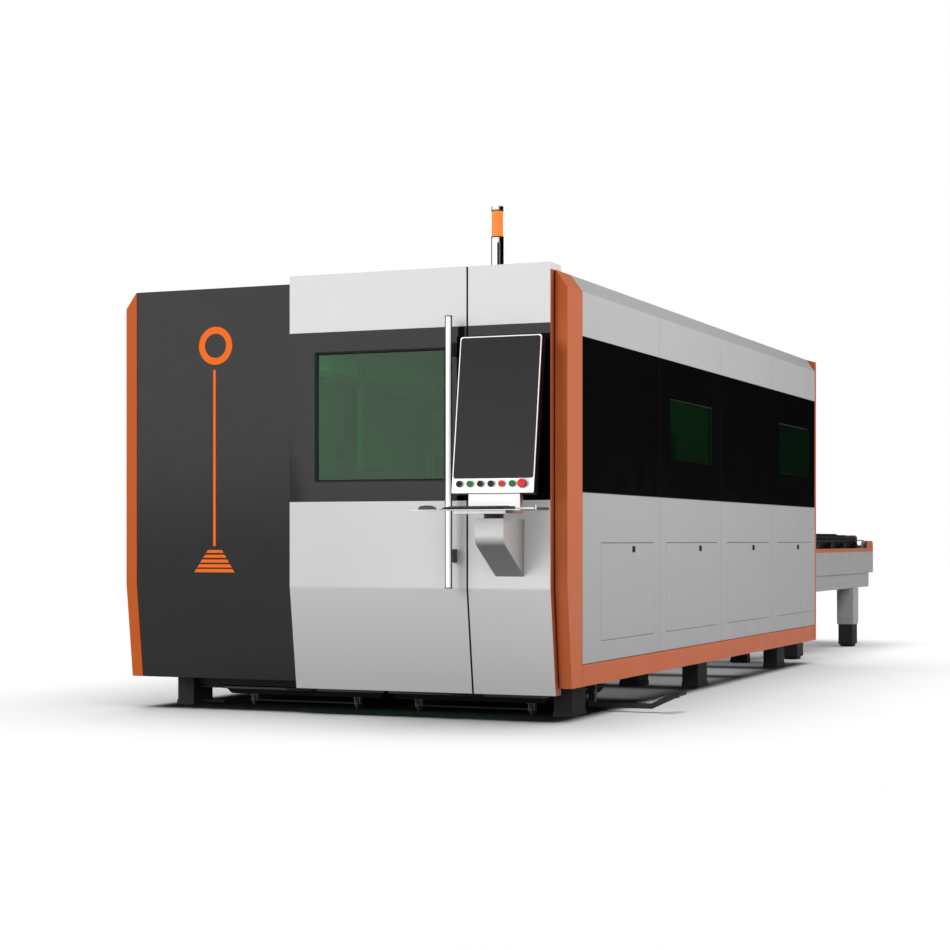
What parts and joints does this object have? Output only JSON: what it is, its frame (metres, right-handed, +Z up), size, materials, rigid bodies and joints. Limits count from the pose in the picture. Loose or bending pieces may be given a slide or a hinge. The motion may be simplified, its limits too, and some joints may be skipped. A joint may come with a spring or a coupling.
{
  "type": "fiber laser cutting machine",
  "caption": "Enclosed flat-sheet laser cutting machine with a sliding front door, tilted operator console, moving gantry, scrap carts and a two-level exchange table behind it.",
  "frame": {"origin": "on the floor, under the middle of the whole machine with its exchange table", "axes": "+X to the right of an operator at the front door, +Y from the front door to the exchange table, +Z up"},
  "size_m": [2.844, 9.027, 2.62],
  "materials": {
    "bed_paint": "satin",
    "foot_steel": "satin",
    "frame_paint": "satin",
    "cover_dark": "satin",
    "panel_white": "satin",
    "trim_orange": "satin",
    "side_light": "satin",
    "band_gloss": "gloss",
    "shield_glass": "tinted",
    "rear_paint": "satin",
    "bright_steel": "ground",
    "tower_chrome": "polished",
    "tower_lens": "gloss",
    "table_grey": "satin",
    "drive_steel": "satin",
    "galvanised": "matt",
    "handle_metal": "gloss",
    "screen_black": "gloss",
    "black_plastic": "matt",
    "grey_plastic": "matt",
    "green_plastic": "gloss",
    "red_plastic": "gloss",
    "gantry_paint": "satin",
    "head_metal": "anodised",
    "pallet_black": "matt",
    "cart_paint": "satin",
    "wheel_nylon": "matt",
    "grip_grey": "matt"
  },
  "bodies": {
    "machine": {"bed_frame": "bed_paint", "leveling_feet": "foot_steel", "enclosure_frame": "frame_paint", "left_front_cover": "cover_dark", "right_front_panel": "panel_white", "front_uprights": "trim_orange", "bottom_rails": "trim_orange", "rear_uprights": "trim_orange", "upper_side_panels": "side_light", "band_panels": "band_gloss", "lower_side_panels": "side_light", "side_windows": "shield_glass", "roof_panels": "panel_white", "rear_panel": "rear_paint", "door_track": "bright_steel", "console_bracket": "panel_white", "tower_base": "tower_chrome", "tower_lens": "tower_lens", "y_rails_and_racks": "bright_steel", "pallet_rails": "bright_steel", "table_frame": "table_grey", "table_covers": "table_grey", "chain_drive": "drive_steel", "exhaust_collar": "galvanised", "side_arm": "cart_paint"},
    "door": {"door_panel": "panel_white", "door_window": "shield_glass", "door_handle": "handle_metal"},
    "console": {"console_neck": "panel_white", "console_tray": "panel_white", "console_housing": "panel_white", "console_screen": "screen_black", "keyboard": "black_plastic", "pointing_device": "grey_plastic"},
    "gantry": {"gantry_beam": "gantry_paint"},
    "carriage": {"carriage": "gantry_paint"},
    "head": {"cutting_head": "head_metal"},
    "pallet_a": {"pallet_a_frame": "pallet_black", "pallet_a_slats": "pallet_black"},
    "pallet_b": {"pallet_b_frame": "pallet_black", "pallet_b_slats": "pallet_black"},
    "left_cart": {"left_scrap_cart": "cart_paint"},
    "right_cart": {"right_scrap_cart": "cart_paint"},
    "button_black_left": {"button_black_left": "black_plastic"},
    "button_green_left": {"button_green_left": "green_plastic"},
    "button_black_centre": {"button_black_centre": "black_plastic"},
    "button_black_right": {"button_black_right": "black_plastic"},
    "button_red": {"button_red": "red_plastic"},
    "button_green_right": {"button_green_right": "green_plastic"},
    "emergency_stop": {"emergency_stop": "red_plastic"},
    "service_door_1": {"service_door_1": "side_light"},
    "service_door_2": {"service_door_2": "side_light"},
    "service_door_3": {"service_door_3": "side_light"},
    "service_door_4": {"service_door_4": "side_light"},
    "left_cart_front_wheels": {"left_cart_front_wheels": "wheel_nylon"},
    "left_cart_rear_wheels": {"left_cart_rear_wheels": "wheel_nylon"},
    "right_cart_front_wheels": {"right_cart_front_wheels": "wheel_nylon"},
    "right_cart_rear_wheels": {"right_cart_rear_wheels": "wheel_nylon"},
    "side_arm_grip": {"side_arm_grip": "grip_grey"}
  },
  "joints": [
    {"name": "door_slide", "type": "slide", "parent": "machine", "child": "door", "axis": [-1, 0, 0], "range_m": [0, 0.93]},
    {"name": "console_swivel", "type": "hinge", "parent": "machine", "child": "console", "pos_m": [0.813, -4.2485, 1], "axis": [0, 0, 1], "range_deg": [-12, 12]},
    {"name": "button_black_left_press", "type": "slide", "parent": "console", "child": "button_black_left", "axis": [0, 0.989, -0.1481], "range_m": [0, 0.0035], "stiffness_N_per_m": 600},
    {"name": "button_green_left_press", "type": "slide", "parent": "console", "child": "button_green_left", "axis": [0, 0.989, -0.1481], "range_m": [0, 0.0035], "stiffness_N_per_m": 600},
    {"name": "button_black_centre_press", "type": "slide", "parent": "console", "child": "button_black_centre", "axis": [0, 0.989, -0.1481], "range_m": [0, 0.0035], "stiffness_N_per_m": 600},
    {"name": "button_black_right_press", "type": "slide", "parent": "console", "child": "button_black_right", "axis": [0, 0.989, -0.1481], "range_m": [0, 0.0035], "stiffness_N_per_m": 600},
    {"name": "button_red_press", "type": "slide", "parent": "console", "child": "button_red", "axis": [0, 0.989, -0.1481], "range_m": [0, 0.0035], "stiffness_N_per_m": 600},
    {"name": "button_green_right_press", "type": "slide", "parent": "console", "child": "button_green_right", "axis": [0, 0.989, -0.1481], "range_m": [0, 0.0035], "stiffness_N_per_m": 600},
    {"name": "emergency_stop_press", "type": "slide", "parent": "console", "child": "emergency_stop", "axis": [0, 0.989, -0.1481], "range_m": [0, 0.005], "stiffness_N_per_m": 1500},
    {"name": "service_door_1_hinge", "type": "hinge", "parent": "machine", "child": "service_door_1", "pos_m": [1.098, -3.0405, 0.386], "axis": [0, 1, 0], "range_deg": [0, 90]},
    {"name": "service_door_2_hinge", "type": "hinge", "parent": "machine", "child": "service_door_2", "pos_m": [1.098, -1.84, 0.386], "axis": [0, 1, 0], "range_deg": [0, 90]},
    {"name": "service_door_3_hinge", "type": "hinge", "parent": "machine", "child": "service_door_3", "pos_m": [1.098, -0.5645, 0.386], "axis": [0, 1, 0], "range_deg": [0, 90]},
    {"name": "service_door_4_hinge", "type": "hinge", "parent": "machine", "child": "service_door_4", "pos_m": [1.098, 0.7165, 0.386], "axis": [0, 1, 0], "range_deg": [0, 90]},
    {"name": "gantry_travel", "type": "slide", "parent": "machine", "child": "gantry", "axis": [0, 1, 0], "range_m": [-1.5, 2.5]},
    {"name": "carriage_travel", "type": "slide", "parent": "gantry", "child": "carriage", "axis": [1, 0, 0], "range_m": [-0.59, 1.09]},
    {"name": "head_lift", "type": "slide", "parent": "carriage", "child": "head", "axis": [0, 0, 1], "range_m": [-0.115, 0.05]},
    {"name": "pallet_a_exchange", "type": "slide", "parent": "machine", "child": "pallet_a", "axis": [0, -1, 0], "range_m": [0, 3.88]},
    {"name": "pallet_b_exchange", "type": "slide", "parent": "machine", "child": "pallet_b", "axis": [0, 1, 0], "range_m": [0, 3.88]},
    {"name": "left_cart_pull", "type": "slide", "parent": "machine", "child": "left_cart", "axis": [0, -1, 0], "range_m": [0, 1.1]},
    {"name": "left_cart_front_roll", "type": "hinge", "parent": "left_cart", "child": "left_cart_front_wheels", "pos_m": [-0.558, -3.5615, 0.03], "axis": [1, 0, 0], "continuous": true},
    {"name": "left_cart_rear_roll", "type": "hinge", "parent": "left_cart", "child": "left_cart_rear_wheels", "pos_m": [-0.558, -2.7765, 0.03], "axis": [1, 0, 0], "continuous": true},
    {"name": "right_cart_pull", "type": "slide", "parent": "machine", "child": "right_cart", "axis": [0, -1, 0], "range_m": [0, 1.1]},
    {"name": "right_cart_front_roll", "type": "hinge", "parent": "right_cart", "child": "right_cart_front_wheels", "pos_m": [0.43, -3.5615, 0.03], "axis": [1, 0, 0], "continuous": true},
    {"name": "right_cart_rear_roll", "type": "hinge", "parent": "right_cart", "child": "right_cart_rear_wheels", "pos_m": [0.43, -2.7765, 0.03], "axis": [1, 0, 0], "continuous": true},
    {"name": "side_arm_grip_roll", "type": "hinge", "parent": "machine", "child": "side_arm_grip", "pos_m": [1.404, -3.0885, 0.097], "axis": [0, 1, 0], "continuous": true}
  ],
  "couplings": [
    {"joint": "pallet_b_exchange", "follows": "pallet_a_exchange", "ratio": 1}
  ]
}
